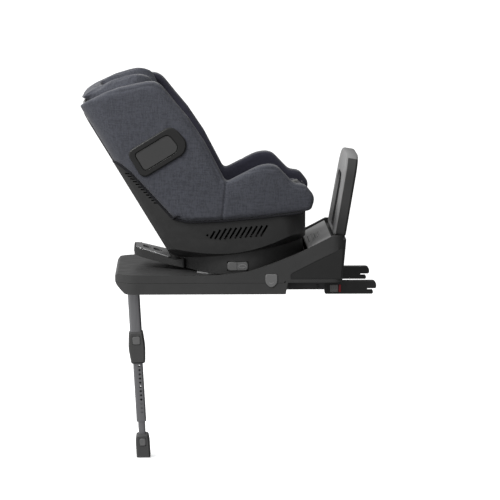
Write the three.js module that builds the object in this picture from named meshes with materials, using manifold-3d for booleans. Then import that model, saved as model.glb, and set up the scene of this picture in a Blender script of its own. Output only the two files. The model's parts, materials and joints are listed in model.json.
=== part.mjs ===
// Convertible child car seat: a swivelling, reclining seat on a base with a load leg, a rebound
// panel and two lower anchorage connectors. Millimetres, +Z up. The child faces +X, towards the
// vehicle's seat back; +Y is the child's left. The model is drawn about the swivel centre on the
// base's underside and then moved, so that the exported origin is midway between the two
// anchorage bars that the connectors grip.
import * as THREE from 'three';
import { mergeVertices } from 'three/addons/utils/BufferGeometryUtils.js';
import Module from 'manifold-3d';

const wasm = await Module();
wasm.setup();

// ---------------------------------------------------------------- driving dimensions
const GAP = 0.4;                       // clearance between neighbouring pieces
const SIDES = [['_r', -1], ['_l', 1]]; // the child's right is -Y, the left is +Y

const BASE_FRONT = -341;
const BASE_REAR = 292;
const BASE_HALF = 210;
const BASE_WALL = 3.5;
const SPLIT_Z = 31;                    // parting plane between tray and cover
const REAR_FLOOR_Z = 36;
const STEP_X = 128;                    // where the deep part of the tray ends

const ROCKER = { x: -60, z: 466, r: 415 }; // centre and radius of the recline rocker
const RING_R = 179;
const SWIVEL_Z = 109;
const SWIVEL_TILT = -8;                // degrees about Y: the turntable faces slightly rearwards

const BACK_FOOT = { x: -184, z: 90 };  // lower end of the straight back line
const BACK_LEAN = -31.2;               // degrees about Y
const SEAT_HALF = 212;
const WING_INNER = 160;

const LEG_PIVOT = { x: -296, z: 20 };
const LEG_LEAN = -3.15;                // degrees about Y: the foot sits a little rearwards
const GROOVE_HALF = 26;
const GROOVE_TOP = 38.5;
const SOLE_Z = -492;

const ARM_Y = 140;                     // half of the 280 mm anchorage spacing
const BAR = { x: 356, z: 4.2 };        // anchorage bar centre inside the connector slot

// ---------------------------------------------------------------- materials
function material(color, roughness, metalness = 0) {
  return new THREE.MeshStandardMaterial({ color, roughness, metalness });
}

const PLASTIC = material(0x454545, 0.55);
const DARK_PLASTIC = material(0x262626, 0.6);
const GREY_PLASTIC = material(0x9a9a9a, 0.5);
const BUTTON_GREY = material(0x6a6a6a, 0.5);
const SILVER = material(0xd4d4d4, 0.35, 0.2);
const TUBE_METAL = material(0x858585, 0.4, 0.8);
const STEEL = material(0x3a3a3c, 0.45, 0.8);
const FABRIC = material(0x4c4d57, 0.95);
const DARK_FABRIC = material(0x33333f, 0.95);
const WEBBING = material(0x2b2b30, 0.9);
const RED = material(0x8e1018, 0.5);

// ---------------------------------------------------------------- solids
function toSolid(geometry) {
  const bare = geometry.clone();
  bare.deleteAttribute('normal');
  bare.deleteAttribute('uv');
  const merged = mergeVertices(bare, 1e-4);
  const vertProperties = new Float32Array(merged.attributes.position.array);
  const triVerts = new Uint32Array(merged.index.array);
  return new wasm.Manifold(new wasm.Mesh({ numProp: 3, vertProperties, triVerts }));
}

function toGeometry(solid) {
  const mesh = solid.getMesh();
  const geometry = new THREE.BufferGeometry();
  geometry.setAttribute('position', new THREE.BufferAttribute(mesh.vertProperties, 3));
  geometry.setIndex(new THREE.BufferAttribute(mesh.triVerts, 1));
  geometry.computeVertexNormals();
  return geometry;
}

function cut(solid, ...tools) {
  return tools.reduce((left, tool) => left.subtract(tool), solid);
}

function join(...solids) {
  return solids.reduce((whole, next) => whole.add(next));
}

function common(...solids) {
  return solids.reduce((whole, next) => whole.intersect(next));
}

// ---------------------------------------------------------------- outlines
// An outline is a list of [a, b] points; corners come as [a, b, radius].
function rounded(corners, stepDegrees = 18) {
  const points = [];
  corners.forEach(([x, z, radius = 0], i) => {
    const here = new THREE.Vector2(x, z);
    const before = new THREE.Vector2(...corners.at(i - 1).slice(0, 2)).sub(here);
    const after = new THREE.Vector2(...corners[(i + 1) % corners.length].slice(0, 2)).sub(here);
    const half = Math.acos(before.clone().normalize().dot(after.clone().normalize())) / 2;
    const room = 0.49 * Math.min(before.length(), after.length());
    const reach = Math.min(radius / Math.tan(half), room);
    if (reach < 0.05) {
      points.push([x, z]);
      return;
    }
    const start = here.clone().add(before.setLength(reach));
    const end = here.clone().add(after.setLength(reach));
    const turn = 180 - THREE.MathUtils.radToDeg(half) * 2;
    const steps = Math.max(1, Math.round(turn / stepDegrees));
    const arcR = reach * Math.tan(half);
    const toCentre = start.clone().add(end).multiplyScalar(0.5).sub(here);
    const centre = here.clone().add(toCentre.setLength(Math.hypot(reach, arcR)));
    const a0 = Math.atan2(start.y - centre.y, start.x - centre.x);
    let sweep = Math.atan2(end.y - centre.y, end.x - centre.x) - a0;
    sweep -= Math.round(sweep / (2 * Math.PI)) * 2 * Math.PI;
    for (let k = 0; k <= steps; k += 1) {
      const a = a0 + (sweep * k) / steps;
      points.push([centre.x + arcR * Math.cos(a), centre.y + arcR * Math.sin(a)]);
    }
  });
  return points;
}

function roundedBox(a0, a1, b0, b1, radius, stepDegrees) {
  return rounded([[a0, b0, radius], [a1, b0, radius], [a1, b1, radius], [a0, b1, radius]],
    stepDegrees);
}

function shapeOf(points) {
  return new THREE.Shape(points.map(([a, b]) => new THREE.Vector2(a, b)));
}

// Extrusions of an outline: across the seat (Y), upwards (Z) and lengthways (X). With a bevel,
// the outline's edges are eased by that much at both ends and the overall size is kept.
function extruded(points, depth, bevel) {
  return new THREE.ExtrudeGeometry(shapeOf(points), {
    depth: depth - 2 * bevel,
    bevelEnabled: bevel > 0,
    bevelThickness: bevel,
    bevelSize: bevel,
    bevelOffset: -bevel,
    bevelSegments: bevel > 5 ? 2 : 1,
    steps: 1,
    curveSegments: 1,
  }).translate(0, 0, bevel);
}

function alongY(points, y0, y1, bevel = 0) {
  return toSolid(extruded(points, y1 - y0, bevel).rotateX(Math.PI / 2).translate(0, y1, 0));
}

function alongZ(points, z0, z1, bevel = 0) {
  return toSolid(extruded(points, z1 - z0, bevel).translate(0, 0, z0));
}

function alongX(points, x0, x1, bevel = 0) {
  const geometry = extruded(points, x1 - x0, bevel);
  return toSolid(geometry.rotateX(Math.PI / 2).rotateZ(Math.PI / 2).translate(x0, 0, 0));
}

function block(x0, x1, y0, y1, z0, z1) {
  const box = new THREE.BoxGeometry(x1 - x0, y1 - y0, z1 - z0);
  return toSolid(box.translate((x0 + x1) / 2, (y0 + y1) / 2, (z0 + z1) / 2));
}

function sideBlock(side, x0, x1, near, far, z0, z1) {
  const [y0, y1] = side < 0 ? [-far, -near] : [near, far];
  return block(x0, x1, y0, y1, z0, z1);
}

function acrossSide(side, points, near, far, bevel = 0) {
  const [y0, y1] = side < 0 ? [-far, -near] : [near, far];
  return alongY(points, y0, y1, bevel);
}

function pinY(x, z, r, y0, y1, segments = 20) {
  const geometry = new THREE.CylinderGeometry(r, r, y1 - y0, segments);
  return toSolid(geometry.translate(x, (y0 + y1) / 2, z));
}

function discZ(r, z0, z1, segments = 64) {
  const geometry = new THREE.CylinderGeometry(r, r, z1 - z0, segments);
  return toSolid(geometry.rotateX(Math.PI / 2).translate(0, 0, (z0 + z1) / 2));
}

// ---------------------------------------------------------------- frames
const model = new THREE.Group();
model.position.set(-BAR.x, 0, -BAR.z);

const turntable = new THREE.Group();
turntable.position.set(0, 0, SWIVEL_Z);
turntable.rotation.y = THREE.MathUtils.degToRad(SWIVEL_TILT);

const back = new THREE.Group();        // local z runs up the back line, local x points forwards
back.position.set(BACK_FOOT.x, 0, BACK_FOOT.z);
back.rotation.y = THREE.MathUtils.degToRad(BACK_LEAN);

const leg = new THREE.Group();         // local z runs up the leg, from its pivot
leg.position.set(LEG_PIVOT.x, 0, LEG_PIVOT.z);
leg.rotation.y = THREE.MathUtils.degToRad(LEG_LEAN);

const PANEL_LEAN = 9.8;
const panel = new THREE.Group();       // local z runs up the rebound panel's front face
panel.position.set(256, 0, 152.5);
panel.rotation.y = THREE.MathUtils.degToRad(PANEL_LEAN);

model.add(turntable, back, leg, panel);

function placed(solid, frame) {
  frame.updateMatrix();
  return toSolid(toGeometry(solid).applyMatrix4(frame.matrix));
}

function unplaced(solid, frame) {
  frame.updateMatrix();
  return toSolid(toGeometry(solid).applyMatrix4(frame.matrix.clone().invert()));
}

function add(name, solid, look, frame = model) {
  const mesh = new THREE.Mesh(toGeometry(solid), look);
  mesh.name = name;
  frame.add(mesh);
}

// ---------------------------------------------------------------- base: shared outlines
function rockerZ(x, r) {
  return ROCKER.z - Math.sqrt(r * r - (x - ROCKER.x) ** 2);
}

function rockerArc(r, x0, x1, steps) {
  return Array.from({ length: steps + 1 }, (_, i) => {
    const x = x0 + ((x1 - x0) * i) / steps;
    return [x, rockerZ(x, r)];
  });
}

function basePlan(inset) {
  const [nose, rear] = [62 - inset, 40 - inset];
  const half = BASE_HALF - inset;
  return rounded([
    [BASE_FRONT + inset, -half, nose], [BASE_REAR - inset, -half, rear],
    [BASE_REAR - inset, half, rear], [BASE_FRONT + inset, half, nose],
  ], 11);
}

const RIM_TOP = 52.5;
const PANEL_SEAT = 146;
const DECK_SINK = 4.2;                 // the deck plate lies in a recess this deep
const DECK_START = [187, 119];
const DECK_END = [251, 153.5];
const WELL_R = ROCKER.r + 29;          // the ring's rear lip swings down into this well
const CRADLE_R = ROCKER.r + 3.5;

// Upper surface between the side walls, lowered by `drop`.
function cradleProfile(drop) {
  return [
    [-121, RIM_TOP - drop],
    ...rockerArc(CRADLE_R + drop, -118, 0, 8),
    [96, 50 - drop],
    ...rockerArc(WELL_R + drop, 104, 184, 5),
    [DECK_START[0] - drop * 0.6, DECK_START[1] - DECK_SINK - drop],
    [DECK_END[0], DECK_END[1] - DECK_SINK - drop],
    [DECK_END[0] + 2, PANEL_SEAT - drop],
  ];
}

const RELEASE = { x: 86, z: 36, halfX: 16.5, halfZ: 19.5 };
const RELEASE_OUTLINE = [
  [RELEASE.x - 16.5, RELEASE.z + 19.5, 6], [RELEASE.x + 16.5, RELEASE.z + 19.5, 6],
  [RELEASE.x + 16.5, RELEASE.z - 5, 14], [RELEASE.x, RELEASE.z - 22, 12],
  [RELEASE.x - 16.5, RELEASE.z - 5, 14],
];

function grown(outline, by) {
  return outline.map(([x, z, r]) => [
    RELEASE.x + (x - RELEASE.x) * (1 + by / RELEASE.halfX),
    RELEASE.z + (z - RELEASE.z) * (1 + by / RELEASE.halfZ), r]);
}

// ---------------------------------------------------------------- base tray
function makeTray() {
  const plan = alongZ(basePlan(0), -20, 60);
  const side = alongY(rounded([
    [BASE_FRONT, SPLIT_Z - GAP], [BASE_FRONT + 5, 22, 14], [BASE_FRONT + 28, 0, 14],
    [STEP_X - 3, 0], [STEP_X + 3, REAR_FLOOR_Z - 4], [BASE_REAR - 12, REAR_FLOOR_Z - 4],
    [BASE_REAR - 12, REAR_FLOOR_Z - GAP], [STEP_X - 4, REAR_FLOOR_Z - GAP],
    [STEP_X - 4, SPLIT_Z - GAP],
  ], 10), -BASE_HALF, BASE_HALF);
  const pocket = common(
    alongZ(basePlan(BASE_WALL), 3, 80),
    alongY([
      [BASE_FRONT + 9, 60], [BASE_FRONT + 9, 22], [BASE_FRONT + 31, 3], [STEP_X - 7, 3],
      [STEP_X - 4, 20], [STEP_X - 7.9, 60],
    ], -BASE_HALF, BASE_HALF),
  );
  const channel = block(-319, STEP_X - 4, -GROOVE_HALF - 2.6, GROOVE_HALF + 2.6, 0.01,
    GROOVE_TOP + 2.4);
  const notch = block(STEP_X - 9, STEP_X + 10, -GROOVE_HALF, GROOVE_HALF, -5, REAR_FLOOR_Z - 4);
  const tunnels = SIDES.map(([, s]) => sideBlock(s, STEP_X - 12, STEP_X + 4,
    ARM_Y - 11.5, ARM_Y + 11.5, 3, 26.5));
  const buttonHoles = SIDES.map(([, s]) => acrossSide(s, rounded(grown(RELEASE_OUTLINE, 0.6)),
    BASE_HALF - 12, BASE_HALF + 2));
  const pivotHole = pinY(LEG_PIVOT.x, LEG_PIVOT.z, 5.3, -40, 40);
  const tub = cut(common(plan, side), pocket);
  const grooved = cut(join(tub, channel), block(-316, STEP_X - 4.01, -GROOVE_HALF, GROOVE_HALF,
    -5, GROOVE_TOP), notch, pivotHole);
  return cut(grooved, ...tunnels, ...buttonHoles);
}

add('base_tray', makeTray(), PLASTIC);

// ---------------------------------------------------------------- base cover
const WALL_TOP = [
  [BASE_FRONT, SPLIT_Z + GAP / 2], [BASE_FRONT, 46, 3], [BASE_FRONT + 7, RIM_TOP + 1.5, 6],
  [-200, RIM_TOP], [-75, 51, 100], [20, 60, 150], [85, 82, 200], [165, 114, 300],
  [224, 144, 100], [253, 159.5, 14], [BASE_REAR + 1, 158.5, 5], [BASE_REAR - 12, REAR_FLOOR_Z],
  [STEP_X - 6, REAR_FLOOR_Z], [STEP_X - 7, SPLIT_Z + GAP / 2],
];
const WALL_INNER = 196;

function makeCover() {
  const body = common(alongZ(basePlan(0), 20, 300),
    alongY(rounded(WALL_TOP, 8), -BASE_HALF, BASE_HALF));
  const above = [...cradleProfile(0), [BASE_REAR + 20, PANEL_SEAT], [BASE_REAR + 20, 260], [-121, 260]];
  const cradle = alongY(above, -WALL_INNER, WALL_INNER);
  const hollow = [
    [BASE_FRONT + 4, 20], [BASE_FRONT + 4, 43], [BASE_FRONT + 10, RIM_TOP - BASE_WALL],
    ...cradleProfile(BASE_WALL), [BASE_REAR - 5, PANEL_SEAT - BASE_WALL], [BASE_REAR - 16, 20],
  ];
  const inside = common(alongZ(basePlan(BASE_WALL), 10, 300),
    alongY(hollow, -BASE_HALF, BASE_HALF));
  const insets = SIDES.map(([, s]) => acrossSide(s, INSET_OUTLINE, BASE_HALF - 2.8,
    BASE_HALF + 2));
  const buttonHoles = SIDES.map(([, s]) => acrossSide(s, rounded(grown(RELEASE_OUTLINE, 0.6)),
    BASE_HALF - 12, BASE_HALF + 2));
  return cut(body, cradle, inside, ...insets, ...buttonHoles);
}

const INSET_OUTLINE = rounded([
  [138, 41, 4], [276, 41, 4], [281, 127, 4], [196, 86, 60], [138, 56, 8],
], 20);

add('base_cover', makeCover(), PLASTIC);

for (const [tag, s] of SIDES) {
  const outline = rounded([
    [138.6, 41.6, 3.5], [275.4, 41.6, 3.5], [280.2, 126, 3.5], [196, 85.3, 60], [138.6, 55.5, 7],
  ], 20);
  add('base_side_inset' + tag, acrossSide(s, outline, BASE_HALF - 2.5, BASE_HALF - 0.7),
    DARK_PLASTIC);

  const button = acrossSide(s, rounded(RELEASE_OUTLINE), BASE_HALF - 8, BASE_HALF + 2.5, 1.5);
  add('base_release_button' + tag, button, BUTTON_GREY);

  const railOutside = sideBlock(s, -150, 112, ARM_Y - 14, ARM_Y + 14, 3.3, 29.5);
  const railInside = sideBlock(s, -151, 113, ARM_Y - 11.2, ARM_Y + 11.2, 3.2, 26);
  add('arm_rail' + tag, cut(railOutside, railInside), STEEL);

  const track = [...rockerArc(ROCKER.r + 0.5, -116, 0, 8),
    ...rockerArc(ROCKER.r + 3.1, -116, 0, 8).reverse()];
  add('recline_track' + tag, acrossSide(s, track, 120, 150), GREY_PLASTIC);
}

// Grey deck plate behind the turntable, with its slot and two finger ridges.
function makeDeck() {
  const [x0, z0] = DECK_START;
  const [x1, z1] = DECK_END;
  const lean = Math.atan2(z1 - z0, x1 - x0);
  const length = Math.hypot(x1 - x0, z1 - z0);
  const plate = alongY([[0.5, -3], [length - 1, -3], [length - 1, 0], [0.5, 0]], -194, 194);
  const slot = block(18, 24, -70, 70, -1.4, 1);
  const ridges = [34, 42].map((x) => block(x, x + 4, -40, 40, -0.5, 2));
  const geometry = toGeometry(join(cut(plate, slot), ...ridges));
  return toSolid(geometry.rotateY(-lean).translate(x0, 0, z0));
}

add('deck_plate', makeDeck(), GREY_PLASTIC);

// ---------------------------------------------------------------- rebound panel
const PANEL_HALF = 140;
const PANEL_TOP = 227;

function panelOutline() {
  return rounded([
    [-PANEL_HALF, 0, 10], [PANEL_HALF, 0, 10],
    [PANEL_HALF - 14, PANEL_TOP, 62], [-PANEL_HALF + 14, PANEL_TOP, 62],
  ], 12);
}

const PANEL_SLOT = rounded([[-92, 7, 10], [92, 7, 10], [84, 166, 40], [-84, 166, 40]], 18);
const PANEL_SKIN = 8;                  // the light cover's thickness down the front
const PANEL_LIP = 214;                 // above this the cover wraps over the top

add('rebound_cover', cut(alongX(panelOutline(), 0, 36, 7), alongX(PANEL_SLOT, -5, 40),
  block(PANEL_SKIN, 50, -200, 200, -5, PANEL_LIP)), GREY_PLASTIC, panel);
add('rebound_shell', cut(alongX(panelOutline(), 0, 36, 5), alongX(PANEL_SLOT, -5, 40),
  block(-5, PANEL_SKIN + GAP, -200, 200, -5, 300), block(0, 50, -200, 200, PANEL_LIP - GAP, 300)),
PLASTIC, panel);

// ---------------------------------------------------------------- load leg
function tubeZ(halfX, halfY, wall, z0, z1, radius) {
  const outer = alongZ(roundedBox(-halfX, halfX, -halfY, halfY, radius, 30), z0, z1);
  const inner = alongZ(roundedBox(-halfX + wall, halfX - wall, -halfY + wall, halfY - wall,
    Math.max(radius - wall, 0.5), 30), z0 - 1, z1 + 1);
  return cut(outer, inner);
}

const CLAMP_TOP = -155;
const CLAMP_BOTTOM = -245;
const BUTTON_DROP = 24;                // leg button centre below the clamp's top
const FOOT_TOP = -448;
const HOLE_PITCH = 12;

add('leg_pivot_pin', join(pinY(LEG_PIVOT.x, LEG_PIVOT.z, 5, -33, 33),
  pinY(LEG_PIVOT.x, LEG_PIVOT.z, 8, -36, -29.2), pinY(LEG_PIVOT.x, LEG_PIVOT.z, 8, 29.2, 36)),
STEEL);

add('leg_upper_tube', cut(tubeZ(16.5, 15, 1.6, CLAMP_BOTTOM + 12, 6, 6), pinY(0, 0, 5.3, -20, 20)),
  TUBE_METAL, leg);

function makeClamp() {
  const outline = rounded([
    [-20, CLAMP_TOP, 5], [19, CLAMP_TOP, 5], [23.5, CLAMP_TOP - 45, 60],
    [21, CLAMP_BOTTOM, 6], [-18, CLAMP_BOTTOM, 6], [-23.5, CLAMP_TOP - 45, 60],
  ], 15);
  const body = alongY(outline, -21, 21, 4);
  const bore = alongZ(roundedBox(-16.9, 16.9, -15.4, 15.4, 6, 30),
    CLAMP_BOTTOM + 11, CLAMP_TOP + 5);
  const lowerBore = alongZ(roundedBox(-13.9, 13.9, -12.4, 12.4, 4, 30),
    CLAMP_BOTTOM - 22, CLAMP_BOTTOM + 38);
  const middle = CLAMP_TOP - BUTTON_DROP;
  const buttonWell = block(-11, 11, -30, -17.4, middle - 12, middle + 12);
  return cut(body, bore, lowerBore, buttonWell);
}

add('leg_clamp', makeClamp(), PLASTIC, leg);
add('leg_button', alongY(roundedBox(-10.5, 10.5, CLAMP_TOP - BUTTON_DROP - 11.5,
  CLAMP_TOP - BUTTON_DROP + 11.5, 4, 30), -23, -20.2, 1.2), BUTTON_GREY, leg);

function makeLowerTube() {
  const tube = tubeZ(13.4, 11.9, 1.5, FOOT_TOP + 36, CLAMP_TOP + 8, 4);
  const holes = Array.from({ length: 12 }, (_, i) => pinY(3.5, CLAMP_BOTTOM - 8 - HOLE_PITCH * i, 3.2,
    -20, i % 5 === 0 ? 20 : 0, 10));
  return cut(tube, ...holes);
}

add('leg_lower_tube', makeLowerTube(), TUBE_METAL, leg);
add('leg_foot_tube', tubeZ(9.6, 8.6, 1.5, FOOT_TOP - 16, FOOT_TOP + 91, 3), TUBE_METAL, leg);

function makeFoot() {
  const outline = rounded([
    [-17.5, FOOT_TOP, 8], [17.5, FOOT_TOP, 8], [19.6, FOOT_TOP - 22, 20], [19.6, FOOT_TOP - 72, 7],
    [-19.6, FOOT_TOP - 72, 7], [-19.6, FOOT_TOP - 22, 20],
  ], 15);
  const body = alongY(outline, -24, 24, 4);
  const socket = alongZ(roundedBox(-10, 10, -9, 9, 3, 30), FOOT_TOP - 17, FOOT_TOP + 6);
  const well = block(-9, 9, -30, -18.4, FOOT_TOP - 32, FOOT_TOP - 10);
  const floor = unplaced(block(-400, -150, -60, 60, SOLE_Z - 60, SOLE_Z), leg);
  return cut(body, socket, well, floor);
}

add('leg_foot', makeFoot(), PLASTIC, leg);
add('foot_button', alongY(roundedBox(-8.5, 8.5, FOOT_TOP - 31.5, FOOT_TOP - 10.5, 4, 30),
  -25.6, -22, 1.2), BUTTON_GREY, leg);

// ---------------------------------------------------------------- anchorage arms
for (const [tag, s] of SIDES) {
  const y = s * ARM_Y;
  const tube = cut(block(-30, 262, y - 10.5, y + 10.5, 4, 25),
    block(-31, 263, y - 8.7, y + 8.7, 5.8, 23.2));
  add('arm_tube' + tag, tube, STEEL);

  const outline = rounded([
    [234, -5, 3], [237, -8, 2], [367, -8, 4], [367, BAR.z - 3.1, 2], [350, BAR.z - 3.1, 2.9],
    [350, BAR.z + 3.1, 2.9], [376, BAR.z + 3.1, 5], [376, 27.4, 11], [238, 27.4, 3],
    [234, 23, 2],
  ], 20);
  const body = alongY(outline, y - 13.5, y + 13.5, 0);
  const socket = block(230, 263, y - 10.9, y + 10.9, 3.6, 25.4);
  const slit = block(320, 352, y - 3.6, y + 3.6, -4, 23);
  const nose = block(350, 369.5, y - 3.6, y + 3.6, 0, 17.6);
  const outer = s * (ARM_Y + 13.5);
  const track = sideBlock(s, 241, 279, Math.abs(outer) - 2.2, Math.abs(outer) + 2, -3.2, 18.2);
  add('connector_housing' + tag, cut(body, socket, slit, nose, track), DARK_PLASTIC);

  const slider = sideBlock(s, 249, 270, Math.abs(outer) - 1.9, Math.abs(outer) + 1.4, -2.4, 17.4);
  const grip = [253, 259, 265].map((x) => sideBlock(s, x, x + 2, Math.abs(outer) + 0.6,
    Math.abs(outer) + 2, -4, 20));
  add('connector_slider' + tag, cut(slider, ...grip), BUTTON_GREY);
  add('latch_indicator' + tag, sideBlock(s, 272.8, 278.4, Math.abs(outer) - 1.9,
    Math.abs(outer) + 0.3, -2.4, 17.4), RED);

  const jaw = rounded([
    [324, 11, 3], [340, 10, 4], [356, 12.5, 2], [360.5, 8.8, 0.8], [366, 9.2, 0.8],
    [367, 16.4, 3], [350, 17, 8], [336, 21.5, 4], [324, 20, 4],
  ], 30);
  add('connector_jaw' + tag, cut(alongY(jaw, y - 3.2, y + 3.2), pinY(329, 15.5, 1.6, y - 5, y + 5,
    12)), STEEL);
}

// ---------------------------------------------------------------- carriage
const TONGUE_TIP = [-291, 100];
const PLATE_START = [-187, 84.6];
const PLATE_END = [-285, 112.2];

function makeCarriage() {
  const disc = placed(discZ(RING_R, -110, -0.5), turntable);
  const under = alongY([
    [-200, 67.5], [-160, 60.6], ...rockerArc(ROCKER.r, -120, 100, 12), [184, 96], [220, 96],
    [220, 300], [-200, 300],
  ], -220, 220);
  const pan = cut(discZ(164, -20, 5, 40), discZ(94, -30, 10, 32));
  const bore = discZ(70.6, -14.6, 5, 40);
  const tonguePlan = alongZ(rounded([
    [-150, -106, 5], [-190, -92, 40], [TONGUE_TIP[0], -58, 36], [TONGUE_TIP[0], 58, 36],
    [-190, 92, 40], [-150, 106, 5],
  ], 15), 40, 160);
  const tongueSide = alongY([
    [-150, 59.2], [-194, 66.5], [-256, 80], [-284, 88], [-291, 97], [PLATE_END[0] - 5, 111.4],
    [PLATE_START[0], PLATE_START[1] - 2.2], [-176, 80], [-150, 84],
  ], -120, 120);
  const body = join(common(disc, under), common(tonguePlan, tongueSide));
  const windowWells = SIDES.map(([, s]) => sideBlock(s, -34, 24, RING_R - 18, RING_R + 5, 60, 86));
  const leverWell = block(-296, -262, -31, 31, 60, 98.5);
  return cut(body, placed(pan, turntable), placed(bore, turntable), ...windowWells, leverWell);
}

add('carriage', makeCarriage(), PLASTIC);

// Silver plate on the tongue, with its two position windows.
function makeTonguePlate() {
  const [x0, z0] = PLATE_START;
  const [x1, z1] = PLATE_END;
  const lean = Math.atan2(z1 - z0, x0 - x1);
  const length = Math.hypot(x1 - x0, z1 - z0);
  const plan = rounded([
    [-length, -51, 30], [-0.5, -80, 8], [-8, 0, 90], [-0.5, 80, 8], [-length, 51, 30],
  ], 15);
  const windows = [[-82, -60], [-52, -28]].map(([a, b]) => alongZ(
    roundedBox(a, b, -22, 22, 6, 30), -5, 5));
  const geometry = toGeometry(cut(alongZ(plan, -1.7, 0.6), ...windows));
  return toSolid(geometry.rotateY(lean).translate(x0, 0, z0));
}

add('tongue_plate', makeTonguePlate(), SILVER);
add('recline_lever', alongY([[-290, 86], [-264, 82.4], [-264, 90], [-290, 94.5]], -30, 30, 1.5),
  BUTTON_GREY);

for (const [tag, s] of SIDES) {
  const body = acrossSide(s, roundedBox(-33, 23, 61, 85, 7, 30), RING_R - 12, RING_R + 1.5, 1.5);
  const groove = sideBlock(s, -7.5, -5.5, RING_R + 0.2, RING_R + 3, 60, 86);
  add('swivel_button' + tag, cut(body, groove), GREY_PLASTIC);
}

const hubProfile = [[56, -14], [70, -14], [70, 7.4], [86, 7.4], [86, 12], [56, 12], [56, -14]];
const hub = new THREE.LatheGeometry(hubProfile.map(([r, z]) => new THREE.Vector2(r, z)), 40);
add('swivel_hub', toSolid(hub.rotateX(Math.PI / 2)), STEEL, turntable);

// ---------------------------------------------------------------- seat: shared outlines
const SEAM = [
  [-349, 361.5], [-326, 353, 30], [-296, 330, 60], [-182, 206, 40], [-140, 194.5, 60],
  [-40, 198.5, 60], [70, 209, 60], [172, 221],
];

function seamPoints(rise, extend) {
  const line = SEAM.map(([x, z, r]) => [x, z + rise, r]);
  return rounded([[-349 - extend, 361.5 + rise], ...line, [172 + extend, 221 + rise],
    [172 + extend, 700], [-349 - extend, 700]], 14).slice(0, -2);
}

function aboveSeam(rise) {
  return alongY([...seamPoints(rise, 200), [372, 900], [-549, 900]], -300, 300);
}

// Rear corners are round about the leaning back line; front corners are round about a vertical.
function backPrism(inset, half, radius) {
  const r = radius - inset;
  const plan = rounded([
    [inset, -half + inset, r], [900, -half + inset], [900, half - inset], [inset, half - inset, r],
  ], 11);
  return placed(alongZ(plan, -250, 900), back);
}

function flankPrism(inset) {
  const side = [[183, 40], [186, 95], [204, 205], [SEAT_HALF, 330], [SEAT_HALF, 900]];
  const right = side.map(([y, z]) => [y - inset, z]);
  const left = side.map(([y, z]) => [-y + inset, z]).reverse();
  return alongX([...right, ...left], -900, 900);
}

function shellPlan(inset) {
  const half = 206 - inset;
  const front = 182 - inset;
  return alongZ(rounded([
    [-700, -half], [front, -half, 88 - inset], [front, half, 88 - inset], [-700, half],
  ], 11), -100, 900);
}

// ---------------------------------------------------------------- seat shell
const VENTS = { count: 12, pitch: 14, x: -88, z: 161, length: 36, width: 5.6 };

// A bowl about the swivel axis, so that the turning shell's corners pass over the tongue.
const BOWL = { r: 185, slope: 0.5, inset: 9 };

function bowl(floor, inset) {
  const profile = [
    [0, floor], [BOWL.r - inset, floor], [BOWL.r - inset, 1.5],
    [BOWL.r - inset + 150, 1.5 + 150 * BOWL.slope], [BOWL.r - inset + 150, 500], [0, 500],
    [0, floor],
  ];
  const lathe = new THREE.LatheGeometry(profile.map(([r, z]) => new THREE.Vector2(r, z)), 40);
  return placed(toSolid(lathe.rotateX(Math.PI / 2)), turntable);
}

function makeShell() {
  const outer = common(bowl(1, 0), backPrism(0, SEAT_HALF, 78), flankPrism(0), shellPlan(0));
  const inner = common(bowl(6, BOWL.inset), backPrism(4, SEAT_HALF, 78), flankPrism(4),
    shellPlan(4));
  const tub = cut(outer, aboveSeam(-0.3));
  const cavity = cut(inner, aboveSeam(-4.5));
  const hubHole = placed(discZ(72, -20, 40, 40), turntable);
  const slots = [];
  for (let i = 0; i < VENTS.count; i += 1) {
    const x = VENTS.x + VENTS.pitch * i;
    const z = VENTS.z + i * 1.1;
    const length = i === 0 ? 6 : VENTS.length - Math.max(0, 3 - i) * 6;
    const slot = toGeometry(block(-VENTS.width / 2, VENTS.width / 2, -260, 260,
      -length / 2, length / 2));
    slots.push(toSolid(slot.rotateY(THREE.MathUtils.degToRad(30)).translate(x, 0, z)));
  }
  const slats = [];
  for (let i = 0; i < 12; i += 1) {
    slats.push(block(-311 + i * 7.1, -297 + i * 7.1, -260, 260, 327 - i * 7.1, 330.6 - i * 7.1));
  }
  return cut(tub, cavity, hubHole, ...slots, ...slats);
}

add('seat_shell', makeShell(), PLASTIC);

// ---------------------------------------------------------------- side covers and impact pods
const WING_OUTLINE = [
  [-444, 511, 14], [-352, 560, 160], [-226, 588, 46], [-112, 456, 360], [-35, 309, 10],
  [60, 354, 70], [100, 355, 36], [150, 303, 30], [180, 298, 24], [207, 262, 26], [196, 226, 14],
  [172, 222, 14],
];

const POD = { x0: 66, x1: 179, z0: 250, z1: 305 };
const BEZEL = { x0: 50, x1: 204, z0: 235, z1: 320 };

function podOutline(grow) {
  const { x0, x1, z0, z1 } = POD;
  return rounded([[x0 - grow, z0 - grow, 9], [x1 - 12, z0 - grow, 16], [x1 + grow, z0 + 12, 14],
    [x1 - 6 + grow, z1 + grow, 16], [x0 - grow, z1 + grow, 9]], 22);
}

function makeSideCover(s) {
  const outline = rounded([...SEAM.slice(1, -1), ...WING_OUTLINE.slice().reverse(),
    [-349, 361.5, 14]], 14);
  const slab = acrossSide(s, outline, WING_INNER, SEAT_HALF, 11);
  const well = placed(acrossSide(s, podOutline(0.6), 185, 240), back);
  const seated = common(slab, backPrism(0, SEAT_HALF, 62));
  return cut(seated, well);
}

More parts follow.
